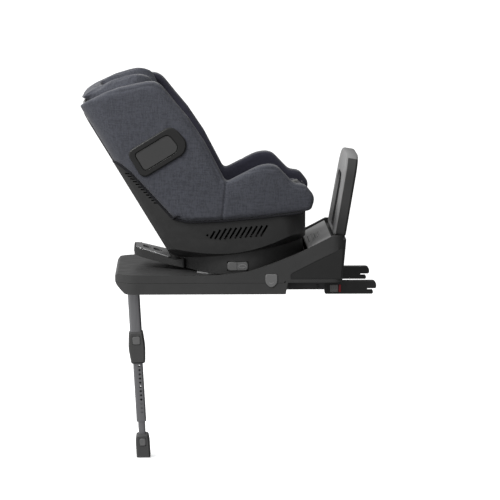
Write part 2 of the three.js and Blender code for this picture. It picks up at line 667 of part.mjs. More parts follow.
for (const [tag, s] of SIDES) {
  add('side_cover' + tag, makeSideCover(s), FABRIC);

  const { x0, x1, z0, z1 } = BEZEL;
  const frame = acrossSide(s, rounded([[x0, z0, 18], [x1 - 18, z0, 30], [x1 + 2, z0 + 26, 26],
    [x1 - 10, z1, 26], [x0, z1, 18]], 22), SEAT_HALF + 0.4, SEAT_HALF + 8, 3);
  add('pod_bezel' + tag, cut(frame, acrossSide(s, podOutline(0.6), 185, 240)), PLASTIC, back);
  add('side_pod' + tag, acrossSide(s, podOutline(0), 186, SEAT_HALF + 5.5, 1.5), DARK_PLASTIC,
    back);
}

// ---------------------------------------------------------------- seat back, pads, headrest
function makeBackShell() {
  const plan = roundedBox(-WING_INNER + 1, WING_INNER - 1, 240, 470, 40, 15);
  const slab = alongX(plan.map(([y, z]) => [y, z]), 2.5, 15);
  return cut(slab, unplaced(block(-700, 400, -300, 300, -100, 361.6), back));
}

add('back_shell', makeBackShell(), PLASTIC, back);

add('back_pad', alongY(rounded([
  [77, 104, 12], [36, 250, 12], [33, 332, 9], [76, 332, 20],
], 20), -WING_INNER + 2, WING_INNER - 2, 6), FABRIC, back);

add('seat_pad', alongY(rounded([
  [-170, 204, 8], [-140, 197.5, 20], [-40, 201, 20], [70, 211.5, 20], [168, 223.5, 8],
  [192, 229, 12], [203, 262, 18], [174, 285, 20], [120, 268, 60], [0, 246, 80], [-160, 240, 20],
  [-182, 244, 9],
], 20), -WING_INNER + 2, WING_INNER - 2, 5), DARK_FABRIC);

const HEAD = { back: 31, z0: 337, z1: 512, half: 150, bolster: 108, reach: 214 };
const HOOD = { back: 17, z: 498 };     // above this the pad folds back over its shell

function makeHeadrestPad() {
  const { half, bolster, reach } = HEAD;
  const plan = rounded([
    [HOOD.back, -half, 14], [reach - 30, -half, 20], [reach, -half + 14, 14],
    [reach - 6, -bolster, 16], [70, -bolster + 6, 24], [62, 0, 200], [70, bolster - 6, 24],
    [reach - 6, bolster, 16], [reach, half - 14, 14], [reach - 30, half, 20],
    [HOOD.back, half, 14],
  ], 22);
  const side = alongY(rounded([
    [HEAD.back, HEAD.z0, 8], [120, HEAD.z0 + 4, 20], [reach - 16, HEAD.z0 + 36, 30],
    [reach + 2, HEAD.z1 - 56, 34], [reach - 26, HEAD.z1 - 28, 24], [100, HEAD.z1 - 3, 80],
    [HOOD.back, HEAD.z1 + 3, 10], [HOOD.back, HOOD.z], [HEAD.back, HOOD.z],
  ], 20), -half - 5, half + 5);
  return common(alongZ(plan, HEAD.z0 - 5, HEAD.z1 + 5), side);
}

add('headrest_shell', alongX(roundedBox(-118, 118, 292, 494, 16, 20), 19, 29.6, 2), PLASTIC, back);
add('headrest_pad', makeHeadrestPad(), FABRIC, back);
add('headrest_lever', alongX(roundedBox(-34, 34, 474, 489, 7, 22), 8, 18.4, 2), BUTTON_GREY, back);

// ---------------------------------------------------------------- harness
const STRAP = 2.6;

for (const [tag, s] of SIDES) {
  const run = [
    [77, 322], [78, 240], [86, 170], [106, 132], [150, 101], [208, 80],
  ];
  const thick = run.map(([x, z]) => [x + STRAP, z + STRAP * 0.6]).reverse();
  add('shoulder_strap' + tag, acrossSide(s, [...run, ...thick], 30, 66), WEBBING, back);
  const hip = [[-150, 244.6], [-60, 246.4], [-18, 258], [-19.6, 261.4], [-61, 249.2],
    [-150, 247.4]];
  add('hip_strap' + tag, acrossSide(s, hip, 34.5, 70), WEBBING);
}

add('crotch_strap', alongY([[30, 256], [52, 260.2], [52, 263.2], [30, 268], [22, 268.5],
  [22, 265.5]], -17, 17), WEBBING);
add('buckle', cut(alongY(rounded([[-36, 263, 5], [20, 258.6, 5], [22, 276, 6], [-34, 282, 6]], 30),
  -29, 29, 2), block(-18, 6, -13, 13, 267.5, 300)), PLASTIC);
add('buckle_button', alongY(roundedBox(-17, 5, 271.5, 281.6, 3, 30), -12, 12, 1), RED);
add('adjuster_button', alongY(rounded([[150, 284, 2], [166, 287, 2], [166, 292, 2],
  [150, 289, 2]], 30), -16, 16, 0), GREY_PLASTIC);
add('adjuster_strap', alongY([[176, 287.2], [190, 275], [206, 262], [208, 240], [210.6, 240],
  [209, 263.4], [191.6, 277.6], [176.4, 290.4]], -13, 13), WEBBING);

export default model;
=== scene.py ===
"""Looks for a convertible child car seat: casings, fabric covers, padding, harness and studio."""

import json
import math

import bmesh
import bpy
import numpy as np
from mathutils import Matrix, Vector
from mathutils.bvhtree import BVHTree


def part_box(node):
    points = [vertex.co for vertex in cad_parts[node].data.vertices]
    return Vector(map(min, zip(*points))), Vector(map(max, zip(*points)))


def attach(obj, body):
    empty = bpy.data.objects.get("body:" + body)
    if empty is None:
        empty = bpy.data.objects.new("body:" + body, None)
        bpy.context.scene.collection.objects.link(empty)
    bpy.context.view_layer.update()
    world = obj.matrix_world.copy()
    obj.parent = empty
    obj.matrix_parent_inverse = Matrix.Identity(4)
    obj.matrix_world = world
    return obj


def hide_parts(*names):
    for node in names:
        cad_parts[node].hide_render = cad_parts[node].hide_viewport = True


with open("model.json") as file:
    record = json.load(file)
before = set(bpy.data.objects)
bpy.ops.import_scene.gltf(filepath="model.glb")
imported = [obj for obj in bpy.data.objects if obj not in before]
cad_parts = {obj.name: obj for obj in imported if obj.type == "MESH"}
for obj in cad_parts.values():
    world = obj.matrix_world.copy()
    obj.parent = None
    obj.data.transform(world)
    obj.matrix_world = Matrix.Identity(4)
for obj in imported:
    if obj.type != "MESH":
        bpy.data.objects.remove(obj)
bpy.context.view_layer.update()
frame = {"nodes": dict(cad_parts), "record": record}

# ------------------------------------------------------------------ places
# The datum is on the swivel axis, level with the underside of the base. Places are given from
# it in millimetres: x towards the anchorages, y to the child's left, z up.
MM = 0.001
TRAY_FRONT = 341
TRAY_LOW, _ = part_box("base_tray")
DATUM = Vector((TRAY_LOW.x + TRAY_FRONT * MM, 0, TRAY_LOW.z))
BODIES = frame["record"]["behaviour"]["bodies"]
BODY_OF = {node: body for body, nodes in BODIES.items() for node in nodes}
SIDES = (("_r", -1), ("_l", 1))


def at(x, y, z):
    return DATUM + Vector((x, y, z)) * MM


def leaning(x, z, degrees):
    """A frame whose origin is at (x, 0, z), turned about Y; it takes millimetres."""
    turn = Matrix.Rotation(math.radians(degrees), 4, "Y")
    return Matrix.Translation(at(x, 0, z)) @ turn @ Matrix.Scale(MM, 4)


BACK = leaning(-184, 90, -31.2)       # z runs up the seat back, x points forwards
PANEL_LEAN = 9.8
PANEL = leaning(256, 152.5, PANEL_LEAN)       # z runs up the rebound panel's front face
WING_INNER = 160
SEAT_HALF = 212


# ------------------------------------------------------------------ outlines
def rounded(corners, step_degrees=12, closed=True):
    """Points of an outline whose corners [a, b, radius] are arcs."""
    points = []
    count = len(corners)
    for i, corner in enumerate(corners):
        here = Vector(corner[:2])
        radius = corner[2] if len(corner) > 2 else 0
        if radius == 0 or (not closed and i in (0, count - 1)):
            points.append(tuple(here))
            continue
        before = Vector(corners[i - 1][:2]) - here
        after = Vector(corners[(i + 1) % count][:2]) - here
        half = before.angle(after) / 2
        room = 0.49 * min(before.length, after.length)
        reach = min(radius / math.tan(half), room)
        start = here + before.normalized() * reach
        end = here + after.normalized() * reach
        arc = reach * math.tan(half)
        centre = here + ((start + end) / 2 - here).normalized() * math.hypot(reach, arc)
        steps = max(2, round((180 - math.degrees(half) * 2) / step_degrees))
        first, last = start - centre, end - centre
        sweep = -first.angle_signed(last)
        for k in range(steps + 1):
            turned = Matrix.Rotation(sweep * k / steps, 2) @ first
            points.append(tuple(centre + turned))
    return points


def resampled(points, step):
    """Points `step` apart along a polyline of vectors."""
    points = [Vector(p) for p in points]
    lengths = [0.0]
    for a, b in zip(points, points[1:]):
        lengths.append(lengths[-1] + (b - a).length)
    count = max(2, int(round(lengths[-1] / step)))
    result = []
    j = 0
    for k in range(count + 1):
        d = lengths[-1] * k / count
        while j < len(lengths) - 2 and lengths[j + 1] < d:
            j += 1
        span = max(lengths[j + 1] - lengths[j], 1e-9)
        result.append(points[j].lerp(points[j + 1], (d - lengths[j]) / span))
    return result


def eased(points, rounds=3):
    """A polyline with its corners cut, its ends kept."""
    points = [Vector(p) for p in points]
    for _ in range(rounds):
        middle = []
        for a, b in zip(points, points[1:]):
            middle += [a.lerp(b, 0.25), a.lerp(b, 0.75)]
        points = [points[0], *middle[1:-1], points[-1]]
    return points


# ------------------------------------------------------------------ materials
class Nodes:
    """A material's node tree, with short calls for the nodes used here."""

    def __init__(self, name):
        self.material = bpy.data.materials.new(name)
        self.material.use_nodes = True
        self.tree = self.material.node_tree
        self.shader = self.tree.nodes["Principled BSDF"]
        self.coords = self.tree.nodes.new("ShaderNodeTexCoord").outputs["Object"]

    def link(self, source, target):
        self.tree.links.new(source, target)

    def noise(self, scale, detail=3.0, roughness=0.5, stretch=(1, 1, 1)):
        mapping = self.tree.nodes.new("ShaderNodeMapping")
        mapping.inputs["Scale"].default_value = stretch
        node = self.tree.nodes.new("ShaderNodeTexNoise")
        node.inputs["Scale"].default_value = scale
        node.inputs["Detail"].default_value = detail
        node.inputs["Roughness"].default_value = roughness
        self.link(self.coords, mapping.inputs["Vector"])
        self.link(mapping.outputs["Vector"], node.inputs["Vector"])
        return node.outputs["Fac"]

    def along(self, direction):
        """Distance along a direction, in metres."""
        node = self.tree.nodes.new("ShaderNodeVectorMath")
        node.operation = "DOT_PRODUCT"
        node.inputs[1].default_value = direction
        self.link(self.coords, node.inputs[0])
        return node.outputs["Value"]

    def math(self, operation, a, b=None, c=None):
        node = self.tree.nodes.new("ShaderNodeMath")
        node.operation = operation
        for socket, value in zip(node.inputs, (a, b, c)):
            if value is None:
                continue
            if isinstance(value, (int, float)):
                socket.default_value = value
            else:
                self.link(value, socket)
        return node.outputs["Value"]

    def wave(self, direction, pitch):
        """Ripples from 0 to 1, `pitch` metres apart along a direction."""
        turns = self.math("MULTIPLY", self.along(direction), 2 * math.pi / pitch)
        return self.math("MULTIPLY_ADD", self.math("SINE", turns), 0.5, 0.5)

    def spread(self, value, low, high, out_low=0.0, out_high=1.0):
        node = self.tree.nodes.new("ShaderNodeMapRange")
        for name, number in (("From Min", low), ("From Max", high),
                             ("To Min", out_low), ("To Max", out_high)):
            node.inputs[name].default_value = number
        self.link(value, node.inputs["Value"])
        return node.outputs["Result"]

    def mix(self, factor, a, b):
        node = self.tree.nodes.new("ShaderNodeMix")
        node.data_type = "RGBA"
        self.link(factor, node.inputs["Factor"])
        for socket, value in ((node.inputs["A"], a), (node.inputs["B"], b)):
            if isinstance(value, tuple):
                socket.default_value = (*value, 1)
            else:
                self.link(value, socket)
        return node.outputs["Result"]

    def bump(self, height, distance, strength=1.0, under=None):
        node = self.tree.nodes.new("ShaderNodeBump")
        node.inputs["Distance"].default_value = distance
        node.inputs["Strength"].default_value = strength
        self.link(height, node.inputs["Height"])
        if under is not None:
            self.link(under, node.inputs["Normal"])
        return node.outputs["Normal"]

    def edges(self, low=0.52, high=0.6):
        """1 on raised edges, 0 elsewhere."""
        geometry = self.tree.nodes.new("ShaderNodeNewGeometry")
        return self.spread(geometry.outputs["Pointiness"], low, high)

    def finish(self, colour, roughness, normal):
        self.link(colour, self.shader.inputs["Base Color"])
        self.link(roughness, self.shader.inputs["Roughness"])
        self.link(normal, self.shader.inputs["Normal"])
        return self.material


def tinted(colour, factor):
    return tuple(min(1.0, c * factor) for c in colour)


def plastic(name, colour, roughness=0.5, grain=0.00004, wear=1.5):
    """Moulded plastic: fine spark-eroded grain, slow tone drift, rubbed edges."""
    n = Nodes(name)
    n.shader.inputs["Specular IOR Level"].default_value = 0.42
    drift = n.spread(n.noise(9, 4), 0.3, 0.7)
    tone = n.mix(drift, tinted(colour, 0.93), tinted(colour, 1.07))
    speck = n.spread(n.noise(1900, 2), 0.35, 0.65)
    tone = n.mix(n.math("MULTIPLY", speck, 0.22), tone, tinted(colour, 1.35))
    rubbed = n.math("MULTIPLY", n.edges(), n.spread(n.noise(60, 3), 0.4, 0.65))
    tone = n.mix(n.math("MULTIPLY", rubbed, 0.35), tone, tinted(colour, wear))
    rough = n.spread(n.noise(34, 5), 0.3, 0.7, roughness - 0.06, roughness + 0.07)
    return n.finish(tone, rough, n.bump(n.noise(1500, 2), grain, 0.7))


def metal(name, colour, roughness=0.35, metallic=1.0, axis=(1, 1, 0.02)):
    """Drawn tube or plate: fine streaks along its length under an anodised or painted skin."""
    n = Nodes(name)
    n.shader.inputs["Metallic"].default_value = metallic
    streaks = n.noise(700, 3, stretch=axis)
    tone = n.mix(n.spread(streaks, 0.3, 0.7), tinted(colour, 0.9), tinted(colour, 1.1))
    rubbed = n.math("MULTIPLY", n.edges(), 0.5)
    tone = n.mix(rubbed, tone, tinted(colour, 1.5))
    rough = n.spread(n.noise(40, 4), 0.3, 0.7, roughness - 0.07, roughness + 0.09)
    return n.finish(tone, rough, n.bump(streaks, 0.00003, 0.5))


def woven(name, colour, fleck, pitch=0.0016, sheen=0.25, inner=None):
    """Plain-weave melange: two crossing yarns, light and dark flecks, slub and soft fuzz.

    With `inner`, a tone for the faces nearer the seat's middle than the wings' inner lining.
    """
    n = Nodes(name)
    n.shader.inputs["Sheen Weight"].default_value = sheen
    n.shader.inputs["Sheen Roughness"].default_value = 0.5
    n.shader.inputs["Specular IOR Level"].default_value = 0.25
    warp = n.wave((1, 0.7, 0.12), pitch)
    weft = n.wave((-0.12, 0.7, 1), pitch)
    yarns = n.math("MULTIPLY", warp, weft)
    slub = n.noise(300, 3, stretch=(1, 1, 0.16))
    cross_slub = n.noise(300, 3, stretch=(0.16, 1, 1))
    threads = n.math("ADD", slub, cross_slub)
    flecks = n.spread(n.noise(240, 4, 0.7), 0.42, 0.62)
    tone = n.mix(n.spread(threads, 0.86, 1.14), tinted(colour, 0.78), tinted(colour, 1.2))
    tone = n.mix(n.math("MULTIPLY", flecks, 0.45), tone, fleck)
    tone = n.mix(n.math("MULTIPLY", n.spread(yarns, 0.0, 0.25, 1.0, 0.0), 0.35), tone,
                 tinted(colour, 0.45))
    tone = n.mix(n.math("MULTIPLY", n.spread(n.noise(7, 3), 0.35, 0.65), 0.16), tone,
                 tinted(colour, 0.6))
    if inner is not None:
        across = n.math("ABSOLUTE", n.along((0, 1, 0)))
        lining = n.spread(across, WING_INNER * MM + 0.009, WING_INNER * MM + 0.010, 1.0, 0.0)
        tone = n.mix(lining, tone, inner)
    rough = n.spread(n.noise(120, 3), 0.3, 0.7, 0.82, 0.97)
    fuzz = n.bump(n.noise(1300, 2), 0.00012, 0.5)
    return n.finish(tone, rough, n.bump(yarns, 0.0003, 0.7, fuzz))


def webbing_material(name, colour):
    """Seat-belt webbing: ribs along its length crossed by fine herringbone picks."""
    n = Nodes(name)
    n.shader.inputs["Sheen Weight"].default_value = 0.2
    ribs = n.wave((0, 1, 0), 0.0024)
    picks = n.wave((1, 0.5, 1), 0.0013)
    height = n.math("MULTIPLY", ribs, picks)
    tone = n.mix(height, tinted(colour, 0.7), tinted(colour, 1.5))
    rough = n.spread(n.noise(60, 3), 0.3, 0.7, 0.5, 0.68)
    return n.finish(tone, rough, n.bump(height, 0.0003, 0.8))


LOOKS = {
    "base_plastic": plastic("base plastic", (0.046, 0.046, 0.046), 0.44),
    "leg_plastic": plastic("leg plastic", (0.078, 0.078, 0.078), 0.42),
    "ring_plastic": plastic("ring plastic", (0.024, 0.024, 0.024), 0.5),
    "shell_plastic": plastic("shell plastic", (0.030, 0.030, 0.030), 0.42),
    "bezel_plastic": plastic("bezel plastic", (0.016, 0.016, 0.016), 0.36),
    "dark_plastic": plastic("dark plastic", (0.018, 0.018, 0.018), 0.55),
    "pod_plastic": plastic("pod plastic", (0.050, 0.050, 0.050), 0.62, grain=0.00006),
    "grey_plastic": plastic("grey plastic", (0.40, 0.40, 0.40), 0.45, wear=1.2),
    "swivel_plastic": plastic("swivel button plastic", (0.13, 0.13, 0.13), 0.45, wear=1.3),
    "light_plastic": plastic("light plastic", (0.27, 0.27, 0.27), 0.5, wear=1.2),
    "button_plastic": plastic("button plastic", (0.17, 0.17, 0.17), 0.42, wear=1.4),
    "red_plastic": plastic("red plastic", (0.26, 0.006, 0.012), 0.35, wear=1.3),
    "silver_plate": metal("silver plate", (0.50, 0.50, 0.505), 0.22, 0.95),
    "leg_tube": metal("leg tube", (0.26, 0.26, 0.27), 0.38, 0.85),
    "steel": metal("steel", (0.04, 0.04, 0.042), 0.42, 0.5, (0.02, 1, 1)),
    "cover_fabric": woven("cover fabric", (0.066, 0.069, 0.086), (0.115, 0.12, 0.135)),
    "wing_fabric": woven("wing fabric", (0.066, 0.069, 0.086), (0.115, 0.12, 0.135),
                         inner=(0.030, 0.030, 0.046)),
    "inner_fabric": woven("inner fabric", (0.034, 0.034, 0.050), (0.05, 0.05, 0.07), 0.0011),
    "piping": woven("piping", (0.012, 0.012, 0.015), (0.022, 0.022, 0.026), 0.0012, 0.05),
    "webbing": webbing_material("webbing", (0.028, 0.028, 0.032)),
    "thread": woven("thread", (0.05, 0.052, 0.066), (0.08, 0.08, 0.1), 0.0008, 0.1),
    # dark plastic for the rebound ribs, also used as the painted shade of the deck slots
    "mark": plastic("mark", (0.028, 0.028, 0.028), 0.4),
}


# ------------------------------------------------------------------ meshes
def new_object(name, mesh):
    obj = bpy.data.objects.new(name, mesh)
    bpy.context.scene.collection.objects.link(obj)
    return obj


def dressed(obj, look, body, *nodes):
    """Gives a piece its material, its body and the CAD nodes it stands for."""
    obj.data.materials.clear()
    obj.data.materials.append(LOOKS[look])
    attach(obj, body)
    if nodes:
        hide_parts(*nodes)
    return obj


def from_bmesh(name, bm, smooth=True):
    mesh = bpy.data.meshes.new(name)
    bmesh.ops.recalc_face_normals(bm, faces=bm.faces)
    bm.to_mesh(mesh)
    bm.free()
    for face in mesh.polygons:
        face.use_smooth = smooth
    stale = mesh.attributes.get("custom_normal")
    if stale is not None:
        mesh.attributes.remove(stale)
    return new_object(name, mesh)


def welded(node):
    """The CAD node's mesh as a bmesh, with shared corners and flat faces whole."""
    bm = bmesh.new()
    bm.from_mesh(frame["nodes"][node].data)
    bmesh.ops.remove_doubles(bm, verts=bm.verts, dist=1e-5)
    return bm


def casing(node, look, edge=0.8, segments=2):
    """A hard piece: the CAD node's own shape with its edges eased."""
    bm = welded(node)
    bmesh.ops.dissolve_limit(bm, angle_limit=math.radians(0.7), verts=bm.verts, edges=bm.edges)
    obj = from_bmesh(node + "_finish", bm)
    bevel = obj.modifiers.new("eased edges", "BEVEL")
    bevel.width = edge * MM
    bevel.segments = segments
    bevel.limit_method = "ANGLE"
    bevel.angle_limit = math.radians(38)
    bevel.harden_normals = True
    return dressed(obj, look, BODY_OF[node], node)


def baked(obj):
    """The object with its modifiers applied."""
    graph = bpy.context.evaluated_depsgraph_get()
    mesh = bpy.data.meshes.new_from_object(obj.evaluated_get(graph))
    obj.modifiers.clear()
    obj.data = mesh
    return obj


def coordinates(mesh):
    points = np.zeros(len(mesh.vertices) * 3)
    mesh.vertices.foreach_get("co", points)
    return points.reshape(-1, 3)


def normals(mesh):
    directions = np.zeros(len(mesh.vertices) * 3)
    mesh.vertices.foreach_get("normal", directions)
    return directions.reshape(-1, 3)


def place(mesh, points):
    mesh.vertices.foreach_set("co", np.asarray(points).ravel())
    mesh.update()


SIM_FRAMES = 20


def puffed(node, name, voxel=5.5, shrink=3.0, cap=6.0, pressure=4.0, smooth=6):
    """A padded piece: the soft CAD solid remeshed, drawn in, then blown up as cloth.

    Lengths are in millimetres; no point moves further than `cap`.
    """
    obj = from_bmesh(name, welded(node))
    remesh = obj.modifiers.new("remesh", "REMESH")
    remesh.mode = "VOXEL"
    remesh.voxel_size = voxel * MM
    soften = obj.modifiers.new("soften", "SMOOTH")
    soften.iterations = smooth
    baked(obj)
    start = coordinates(obj.data) - normals(obj.data) * shrink * MM
    place(obj.data, start)
    cloth = obj.modifiers.new("cloth", "CLOTH")
    cloth.settings.quality = 4
    cloth.settings.use_pressure = True
    cloth.settings.uniform_pressure_force = pressure
    cloth.settings.effector_weights.gravity = 0
    cloth.settings.tension_stiffness = 12
    cloth.settings.bending_stiffness = 0.6
    for step in range(1, SIM_FRAMES + 1):
        bpy.context.scene.frame_set(step)
    baked(obj)
    bpy.context.scene.frame_set(1)
    moved = coordinates(obj.data) - start
    length = np.linalg.norm(moved, axis=1, keepdims=True)
    moved *= np.minimum(1.0, cap * MM / np.maximum(length, 1e-9))
    place(obj.data, start + moved)
    finer = obj.modifiers.new("finer", "SUBSURF")
    finer.levels = 1
    finer.render_levels = 1
    baked(obj)
    for face in obj.data.polygons:
        face.use_smooth = True
    return obj


def traced(obj, points, direction, reach=400):
    """Points dropped onto a surface along a direction, with the surface's normals there."""
    tree = BVHTree.FromPolygons([v.co for v in obj.data.vertices],
                                [p.vertices for p in obj.data.polygons])
    found = []
    for point in points:
        hit, normal, _, _ = tree.ray_cast(point - direction * reach * MM, direction)
        if hit is not None:
            found.append((hit, normal))
    return found


def sewn(obj, path, depth=2.0, width=6.0):
    """Presses a seam into a padded piece along a traced path."""
    points = coordinates(obj.data)
    facing = normals(obj.data)
    line = np.array([hit for hit, _ in path])
    nearest = np.full(len(points), 1e9)
    for here in line:
        nearest = np.minimum(nearest, np.linalg.norm(points - here, axis=1))
    share = np.clip(1 - nearest / (width * MM), 0, 1)
    place(obj.data, points - facing * (share ** 1.5)[:, None] * depth * MM)


def swept(name, path, section, across=Vector((0, 1, 0)), closed=False, scale=None):
    """A section of (across, out) points in metres carried along a path of points."""
    bm = bmesh.new()
    rings = []
    count = len(path)
    for i, here in enumerate(path):
        before = path[(i - 1) % count] if closed else path[max(i - 1, 0)]
        after = path[(i + 1) % count] if closed else path[min(i + 1, count - 1)]
        tangent = (after - before).normalized()
        out = across.cross(tangent).normalized()
        side = tangent.cross(out).normalized()
        size = scale(i / (count - 1)) if scale else 1.0
        ring = [bm.verts.new(here + side * a * size + out * b * size) for a, b in section]
        rings.append(ring)
    pairs = list(zip(rings, rings[1:]))
    if closed:
        pairs.append((rings[-1], rings[0]))
    width = len(section)
    for first, second in pairs:
        for j in range(width):
            k = (j + 1) % width
            bm.faces.new((first[j], first[k], second[k], second[j]))
    if not closed:
        bm.faces.new(reversed(rings[0]))
        bm.faces.new(rings[-1])
    return from_bmesh(name, bm)


def oval(half_across, half_out, count=12, power=2.0):
    """An oval or, with a higher power, a rounded-rectangle section, in millimetres."""
    points = []
    for i in range(count):
        a = 2 * math.pi * i / count
        c, s = math.cos(a), math.sin(a)
        points.append((math.copysign(abs(c) ** (2 / power), c) * half_across * MM,
                       math.copysign(abs(s) ** (2 / power), s) * half_out * MM))
    return points


def stitches(name, path, pitch=4.2, length=2.8, radius=0.38, lift=0.15):
    """A row of short threads lying along a traced path."""
    line = resampled([hit + normal * lift * MM for hit, normal in path], pitch * MM)
    bm = bmesh.new()
    for a, b in zip(line, line[1:]):
        along = (b - a).normalized()
        middle = (a + b) / 2
        turn = along.to_track_quat("Z", "Y").to_matrix().to_4x4()
        shape = Matrix.Translation(middle) @ turn @ Matrix.Diagonal(
            (radius * MM, radius * MM, length / 2 * MM, 1))
        bmesh.ops.create_icosphere(bm, subdivisions=1, radius=1, matrix=shape)
    return from_bmesh(name, bm)


def mirrored(obj, name):
    """The same piece on the seat's other side."""
    mesh = obj.data.copy()
    mesh.transform(Matrix.Diagonal((1, -1, 1, 1)))
    mesh.flip_normals()
    return new_object(name, mesh)


# ------------------------------------------------------------------ hard pieces
# For each CAD node, its look and how far its edges are eased, in millimetres.
EASED = {
    "base_tray": ("base_plastic", 1.2), "base_cover": ("base_plastic", 1.6),
    "base_side_inset_l": ("dark_plastic", 0.4), "base_side_inset_r": ("dark_plastic", 0.4),
    "base_release_button_l": ("button_plastic", 0.9),
    "base_release_button_r": ("button_plastic", 0.9),
    "arm_rail_l": ("steel", 0.5), "arm_rail_r": ("steel", 0.5),
    "recline_track_l": ("grey_plastic", 0.4), "recline_track_r": ("grey_plastic", 0.4),
    "deck_plate": ("grey_plastic", 0.5), "rebound_cover": ("light_plastic", 1.4),
    "rebound_shell": ("base_plastic", 1.6), "leg_pivot_pin": ("steel", 0.5),
    "leg_upper_tube": ("leg_tube", 0.4), "leg_clamp": ("leg_plastic", 1.2),
    "leg_button": ("button_plastic", 0.7), "leg_lower_tube": ("leg_tube", 0.3),
    "leg_foot_tube": ("leg_tube", 0.4), "leg_foot": ("leg_plastic", 1.4),
    "foot_button": ("button_plastic", 0.7),
    "arm_tube_l": ("steel", 0.6), "arm_tube_r": ("steel", 0.6),
    "connector_housing_l": ("dark_plastic", 1.1), "connector_housing_r": ("dark_plastic", 1.1),
    "connector_slider_l": ("button_plastic", 0.4), "connector_slider_r": ("button_plastic", 0.4),
    "latch_indicator_l": ("red_plastic", 0.4), "latch_indicator_r": ("red_plastic", 0.4),
    "connector_jaw_l": ("steel", 0.4), "connector_jaw_r": ("steel", 0.4),
    "carriage": ("ring_plastic", 1.2), "tongue_plate": ("silver_plate", 0.5),
    "swivel_hub": ("steel", 0.6), "recline_lever": ("button_plastic", 0.7),
    "swivel_button_l": ("swivel_plastic", 0.7), "swivel_button_r": ("swivel_plastic", 0.7),
    "seat_shell": ("shell_plastic", 0.9), "back_shell": ("shell_plastic", 1.5),
    "pod_bezel_l": ("bezel_plastic", 3.4), "pod_bezel_r": ("bezel_plastic", 3.4),
    "side_pod_l": ("pod_plastic", 1.0), "side_pod_r": ("pod_plastic", 1.0),
    "headrest_shell": ("shell_plastic", 1.2), "headrest_lever": ("button_plastic", 1.0),
    "buckle": ("shell_plastic", 1.2), "buckle_button": ("red_plastic", 0.8),
    "adjuster_button": ("swivel_plastic", 0.6),
}
FULL_ROUND = 2                        # edges eased by more than this get a finer round
for node, (look, edge) in EASED.items():
    casing(node, look, edge, 2 if edge < FULL_ROUND else 5)


# ------------------------------------------------------------------ side covers
SEAM = [
    [-341, 358.5], [-326, 353, 30], [-296, 330, 60], [-182, 206, 40], [-140, 194.5, 60],
    [-40, 198.5, 60], [70, 209, 60], [172, 221],
]
PANEL_SEAM = [[-37, 305], [-42, 255], [-48, 200]]
WING_CREASE = [[-352, 548, 160], [-226, 573, 40], [-121, 450, 360], [-52, 312, 20]]
ARM_CREASE = [[-30, 320, 6], [60, 344, 70], [98, 344, 30], [144, 296, 30], [174, 290, 20]]
COVER_DOWN = Vector((0, 1, 0))        # from the near side's outside towards the middle


def on_side(corners, step=3):
    """An outline in the side plane as points far outside the near side cover."""
    outline = rounded(corners, 8, closed=False)
    return resampled([at(x, -SEAT_HALF, z) for x, z in outline], step * MM)


def side_seam(cover, name, corners, depth, width, body="seat"):
    path = traced(cover, on_side(corners), COVER_DOWN)
    sewn(cover, path, depth, width)
    if name is None:
        return
    row = traced(cover, on_side([[x + 4, z, *r] for x, z, *r in corners]), COVER_DOWN)
    right = stitches("stitches_" + name + "_r", row)
    dressed(mirrored(right, "stitches_" + name + "_l"), "thread", body)
    dressed(right, "thread", body)


def side_covers():
    near = puffed("side_cover_r", "side_cover_padded_r", 5.0, 0.6, 3.0, smooth=2)
    side_seam(near, "panel", PANEL_SEAM, 3.6, 6)
    side_seam(near, None, WING_CREASE, 2.4, 8)
    side_seam(near, None, ARM_CREASE, 2.2, 7)
    far = mirrored(near, "side_cover_padded_l")
    for obj, node in ((near, "side_cover_r"), (far, "side_cover_l")):
        dressed(obj, "wing_fabric", "seat", node)
    return near


near_cover = side_covers()


def flank_half(z):
    """Half width of the shell at a height, both in millimetres."""
    return np.interp(z, (40, 95, 205, 330), (183, 186, 204, 212))


def seam_piping(cover):
    """The dark bound edge where the fabric meets the shell, with its pull tab."""
    outline = rounded(SEAM, 8, closed=False)
    path = []
    for point in resampled([at(x, -flank_half(z) - 0.6, z + 2.2) for x, z in outline], 6 * MM):
        for hit, _ in traced(cover, [point + Vector((0, 0, 5)) * MM], COVER_DOWN):
            path.append(Vector((point.x, max(point.y, hit.y), point.z)))
    section = oval(5.0, 3.4, 12, 2.6)
    near = swept("seam_piping_r", resampled(eased(path, 2), 6 * MM), section)
    dressed(mirrored(near, "seam_piping_l"), "piping", "seat")
    dressed(near, "piping", "seat")
    tab = [at(x, -206.5, z) for x, z in ((-183, 207), (-176, 213), (-168, 216), (-163, 214))]
    near = swept("seam_tab_r", resampled(eased(tab), 2 * MM), oval(6.5, 2.4, 14, 3.0))
    dressed(mirrored(near, "seam_tab_l"), "piping", "seat")
    dressed(near, "piping", "seat")


seam_piping(near_cover)


# ------------------------------------------------------------------ pads
UP = Vector((0, 0, 1))
BACK_AXES = BACK.to_3x3()
BACK_FORWARDS = (BACK_AXES @ Vector((1, 0, 0))).normalized()


def seam_on_pad(pad, name, points, towards, depth, width, body, look="thread", offset=None):
    path = traced(pad, resampled(points, 3 * MM), towards)
    if len(path) < 3:
        return
    sewn(pad, path, depth, width)
    if offset is None:
        return
    row = traced(pad, resampled([p + offset for p in points], 3 * MM), towards)
    dressed(stitches("stitches_" + name, row), look, body)


def plan_line(corners):
    """A line on the seat cushion from (x, y) corners."""
    return [at(x, y, 260) for x, y in rounded(corners, 10, closed=False)]


def back_line(corners, x=120):
    """A line on the seat back from (across, up) corners."""
    return [BACK @ Vector((x, y, z)) for y, z in rounded(corners, 10, closed=False)]


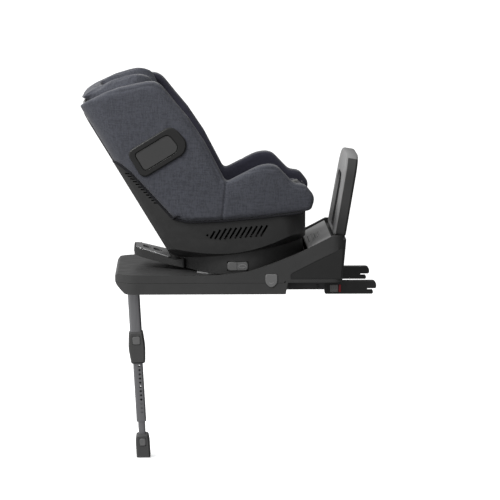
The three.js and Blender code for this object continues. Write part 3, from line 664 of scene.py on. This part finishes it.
def seat_cushion():
    pad = puffed("seat_pad", "seat_cushion", 5.5, 3.5, 7.0)
    for name, corners in (
        ("seat_left", [[-165, 78], [-20, 92, 60], [80, 104, 60], [165, 84]]),
        ("seat_right", [[-165, -78], [-20, -92, 60], [80, -104, 60], [165, -84]]),
        ("seat_front", [[120, -100], [128, 0, 200], [120, 100]]),
    ):
        seam_on_pad(pad, name, plan_line(corners), -UP, 3.2, 8, "seat",
                    offset=Vector((0.004, 0, 0)))
    for k in range(3):
        x = -110 + 62 * k
        seam_on_pad(pad, None, plan_line([[x, -76], [x + 6, 0, 100], [x, 76]]), -UP, 1.8, 7,
                    "seat")
    dressed(pad, "inner_fabric", "seat", "seat_pad")


def back_cushion():
    pad = puffed("back_pad", "back_cushion", 5.5, 3.5, 7.0)
    for name, side in (("back_left", 1), ("back_right", -1)):
        line = back_line([[82 * side, 120], [88 * side, 220, 80], [80 * side, 322]])
        seam_on_pad(pad, name, line, -BACK_FORWARDS, 3.2, 8, "seat",
                    offset=BACK_AXES @ Vector((0, 4 * side, 0)))
    for z in (165, 215, 265):
        seam_on_pad(pad, None, back_line([[-78, z], [0, z - 6, 100], [78, z]]),
                    -BACK_FORWARDS, 1.8, 7, "seat")
    dressed(pad, "inner_fabric", "seat", "back_pad")


def headrest():
    pad = puffed("headrest_pad", "headrest_cushion", 5.5, 4.0, 9.0)
    for name, side in (("head_left", 1), ("head_right", -1)):
        line = back_line([[84 * side, 350], [92 * side, 420, 60], [80 * side, 492]], 200)
        seam_on_pad(pad, name, line, -BACK_FORWARDS, 3.0, 9, "headrest",
                    offset=BACK_AXES @ Vector((0, -4 * side, 0)))
    dressed(pad, "cover_fabric", "headrest", "headrest_pad")


seat_cushion()
back_cushion()
headrest()


# ------------------------------------------------------------------ harness
STRAP_HALF = 18
SHOULDER_Y = 48
HIP_Y = 52
SHOULDER_RUN = [[78.6, 322], [79.6, 240], [87.6, 171], [107.6, 133], [151, 102.5], [208, 82]]
HIP_RUN = [[-150, 246.2], [-60, 248], [-18.6, 260]]


def strap(name, path, half_width, *nodes, thickness=1.1):
    obj = swept(name, resampled(eased(path), 4 * MM), oval(half_width, thickness, 20, 6.0))
    return dressed(obj, "webbing", "seat", *nodes)


def shoulder_pad(name, side):
    """A padded sleeve on the shoulder strap."""
    run = [[84, 314], [85, 262], [88, 205], [95, 160]]
    path = resampled(eased([BACK @ Vector((x, side * SHOULDER_Y, z)) for x, z in run]), 4 * MM)
    pad = swept(name, path, oval(29, 6.4, 28, 3.2),
                scale=lambda t: 0.62 + 0.38 * min(1, 9 * t, 9 * (1 - t)) ** 0.5)
    for edge in (-20, 20):
        line = [BACK @ Vector((130, side * SHOULDER_Y + edge, z)) for z in range(172, 306, 3)]
        row = traced(pad, line, -BACK_FORWARDS)
        sewn(pad, row, 1.0, 5)
        dressed(stitches(f"{name}_stitches_{'in' if edge * side < 0 else 'out'}", row), "thread",
                "seat")
    dressed(pad, "inner_fabric", "seat")


for tag, side in SIDES:
    shoulder = [BACK @ Vector((x, side * SHOULDER_Y, z)) for x, z in SHOULDER_RUN]
    strap("shoulder_webbing" + tag, shoulder, STRAP_HALF, "shoulder_strap" + tag)
    shoulder_pad("shoulder_pad" + tag, side)
    hip = [at(x, side * HIP_Y, z) for x, z in HIP_RUN]
    strap("hip_webbing" + tag, hip, STRAP_HALF, "hip_strap" + tag)

strap("crotch_webbing", [at(52, 0, 261.7), at(40, 0, 264), at(30, 0, 266.6), at(22, 0, 267)], 17,
      "crotch_strap")
strap("adjuster_webbing", [at(176.5, 0, 287), at(185.5, 0, 275), at(199, 0, 260.5),
                           at(200.4, 0, 240)], 13, "adjuster_strap")


def crotch_pad():
    path = [at(62, 0, 262), at(54, 0, 266), at(40, 0, 270), at(27, 0, 272.5)]
    pad = swept("crotch_pad", resampled(eased(path), 3 * MM), oval(24, 5, 24, 3.0),
                scale=lambda t: 0.7 + 0.3 * min(1, 8 * t, 8 * (1 - t)) ** 0.5)
    dressed(pad, "inner_fabric", "seat")


crotch_pad()


# ------------------------------------------------------------------ small hard details
def lump(name, look, body, centre, half, turn=Matrix.Identity(4), power=3.0):
    """A small smooth-cornered solid: a cube subdivided and rounded."""
    bm = bmesh.new()
    bmesh.ops.create_cube(bm, size=2)
    bmesh.ops.subdivide_edges(bm, edges=bm.edges, cuts=5, use_grid_fill=True)
    for vert in bm.verts:
        size = sum(abs(c) ** (2 * power) for c in vert.co) ** (1 / (2 * power))
        vert.co /= size
        vert.co = Vector(c * h * MM for c, h in zip(vert.co, half))
    bmesh.ops.transform(bm, matrix=Matrix.Translation(centre) @ turn, verts=bm.verts)
    return dressed(from_bmesh(name, bm), look, body)


def ring_on(name, look, body, points, section):
    obj = swept(name, points, section, closed=True)
    return dressed(obj, look, body)


BASE_HALF = 210
RING_R = 179
ARM_OUTER = 150.6
for tag, side in SIDES:
    # crescent pressed into the base release button: a real emboss, drawn in light plastic as a
    # painted highlight where light catches it
    crescent = [at(86 + 8 * math.sin(a), side * (BASE_HALF + 2.5), 38 - 8 * math.cos(a))
                for a in np.linspace(-1.0, 1.0, 13)]
    mark = swept("release_crescent_highlight" + tag, crescent, oval(0.5, 1.1, 8),
                 scale=lambda t: 0.35 + 0.65 * math.sin(math.pi * t))
    dressed(mark, "light_plastic", "base_button" + tag)
    # raised oval on the front half of the swivel button
    oval_points = [at(8 + 10 * math.cos(a), side * (RING_R + 1.6), 73 + 4.6 * math.sin(a))
                   for a in np.linspace(0, 2 * math.pi, 32, endpoint=False)]
    ring_on("swivel_mark" + tag, "light_plastic", "swivel_button" + tag, oval_points,
            oval(0.55, 0.8, 8))
    # rivet on the connector tube
    for x in (112, 214):
        lump(f"arm_rivet_{x}" + tag, "steel", "arm" + tag, at(x, side * ARM_OUTER, 14.5),
             (4.2, 1.2, 4.2), power=1.2)

# guide pins either side of the tongue plate
for tag, side in SIDES:
    lump("tongue_pin" + tag, "silver_plate", "carriage", at(-272, side * 59, 103.6), (3, 3, 6),
         power=1.4)

# two flat dark patches on the deck plate: painted shade standing in for the shadowed insides of
# its two slots
DECK_LEAN = -28.3
deck = leaning(187, 119, DECK_LEAN)   # x runs up the deck
for k, (x, half_y) in enumerate(((10, 60), (30, 46))):
    lump(f"deck_slot_shade_{k}", "mark", "base", deck @ Vector((x, 0, 0.1)), (1.1, half_y, 0.35),
         Matrix.Rotation(math.radians(DECK_LEAN), 4, "Y"), power=4)


RIB_COUNT = 20
RIB_START = 30
RIB_PITCH = 4.6


def rebound_ribs():
    """Grip ribs down both inner sides of the rebound panel's opening."""
    bm = bmesh.new()
    for side in (-1, 1):
        for k in range(RIB_COUNT):
            up = RIB_START + RIB_PITCH * k
            half_opening = 92 - 0.05 * (up - 7)
            place_at = PANEL @ Vector((21, side * half_opening, up))
            turn = Matrix.Rotation(math.radians(PANEL_LEAN), 4, "Y")
            shape = Matrix.Translation(place_at) @ turn @ Matrix.Diagonal(
                (0.012, 0.0016, 0.0013, 1))
            bmesh.ops.create_uvsphere(bm, u_segments=12, v_segments=8, radius=1, matrix=shape)
    return dressed(from_bmesh("rebound_ribs", bm), "mark", "base")


rebound_ribs()


# ------------------------------------------------------------------ studio
AIM = Vector((-0.3233, 0, 0.0893))    # metres, where the camera and the lights point
CAMERA_AZIMUTH = -1.41                # degrees from square on to the near side
CAMERA_ELEVATION = 7.77
CAMERA_DISTANCE = 7.298
CAMERA_LENS = 187.8
SENSOR_WIDTH = 36
FLOOR_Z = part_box("leg_foot")[0].z - 0.002
FLOOR_GLOW = 0.62
SKY_TOWARDS = Vector((-0.6, -0.3, 0.74))
SKY_DARK = 0.06
SKY_BRIGHT = 0.9


def lit_sky(tree):
    """A white surround, bright towards SKY_TOWARDS on the piece and plain white in view."""
    sky = tree.nodes["Background"]
    coords = tree.nodes.new("ShaderNodeTexCoord")
    facing = tree.nodes.new("ShaderNodeVectorMath")
    facing.operation = "DOT_PRODUCT"
    facing.inputs[1].default_value = SKY_TOWARDS
    strength = tree.nodes.new("ShaderNodeMapRange")
    for name, number in (("From Min", -0.5), ("From Max", 1), ("To Min", SKY_DARK),
                         ("To Max", SKY_BRIGHT)):
        strength.inputs[name].default_value = number
    path = tree.nodes.new("ShaderNodeLightPath")
    seen = tree.nodes.new("ShaderNodeMath")
    seen.operation = "MAXIMUM"
    tree.links.new(coords.outputs["Generated"], facing.inputs[0])
    tree.links.new(facing.outputs["Value"], strength.inputs["Value"])
    tree.links.new(strength.outputs["Result"], seen.inputs[0])
    tree.links.new(path.outputs["Is Camera Ray"], seen.inputs[1])
    tree.links.new(seen.outputs["Value"], sky.inputs["Strength"])
    sky.inputs["Color"].default_value = (1, 1, 1, 1)


def studio():
    """The pale floor with its curved rise, the sky and two area lights."""
    bm = bmesh.new()
    profile = [(-14, 0), (9, 0), (10.5, 0.35), (11.6, 1.5), (12, 3), (12, 12)]
    rings = [[bm.verts.new((x, y, FLOOR_Z + z)) for x in (-18, 18)] for y, z in profile]
    for first, second in zip(rings, rings[1:]):
        bm.faces.new((first[0], first[1], second[1], second[0]))
    floor = from_bmesh("studio_floor", bm)
    n = Nodes("studio white")
    n.shader.inputs["Roughness"].default_value = 0.9
    tone = n.mix(n.spread(n.noise(2, 2), 0.3, 0.7), (0.93, 0.93, 0.93), (0.95, 0.95, 0.95))
    n.link(tone, n.shader.inputs["Base Color"])
    n.shader.inputs["Emission Color"].default_value = (1, 1, 1, 1)
    n.shader.inputs["Emission Strength"].default_value = FLOOR_GLOW
    floor.data.materials.append(n.material)
    floor.visible_diffuse = False
    floor.visible_glossy = False

    world = bpy.data.worlds.new("studio")
    world.use_nodes = True
    lit_sky(world.node_tree)
    bpy.context.scene.world = world

    def panel_light(name, place_at, size, power):
        data = bpy.data.lights.new(name, "AREA")
        data.shape = "DISK"
        data.size = size
        data.energy = power
        light = new_object(name, data)
        light.location = place_at
        light.rotation_mode = "QUATERNION"
        light.rotation_quaternion = (light.location - AIM).to_track_quat("Z", "Y")

    panel_light("key light", AIM + Vector((-1.5, -1.2, 1.5)), 1.0, 34)
    panel_light("rim light", AIM + Vector((-2.6, 2.4, 1.6)), 1.4, 26)


def camera():
    data = bpy.data.cameras.new("camera")
    data.sensor_width = SENSOR_WIDTH
    data.lens = CAMERA_LENS
    data.clip_end = 100
    obj = new_object("camera", data)
    azimuth, elevation = math.radians(CAMERA_AZIMUTH), math.radians(CAMERA_ELEVATION)
    back = Vector((math.sin(azimuth) * math.cos(elevation),
                   -math.cos(azimuth) * math.cos(elevation), math.sin(elevation)))
    obj.location = AIM + back * CAMERA_DISTANCE
    obj.rotation_mode = "QUATERNION"
    obj.rotation_quaternion = back.to_track_quat("Z", "Y")
    bpy.context.scene.camera = obj


studio()
camera()
bpy.context.scene.view_settings.view_transform = "Standard"
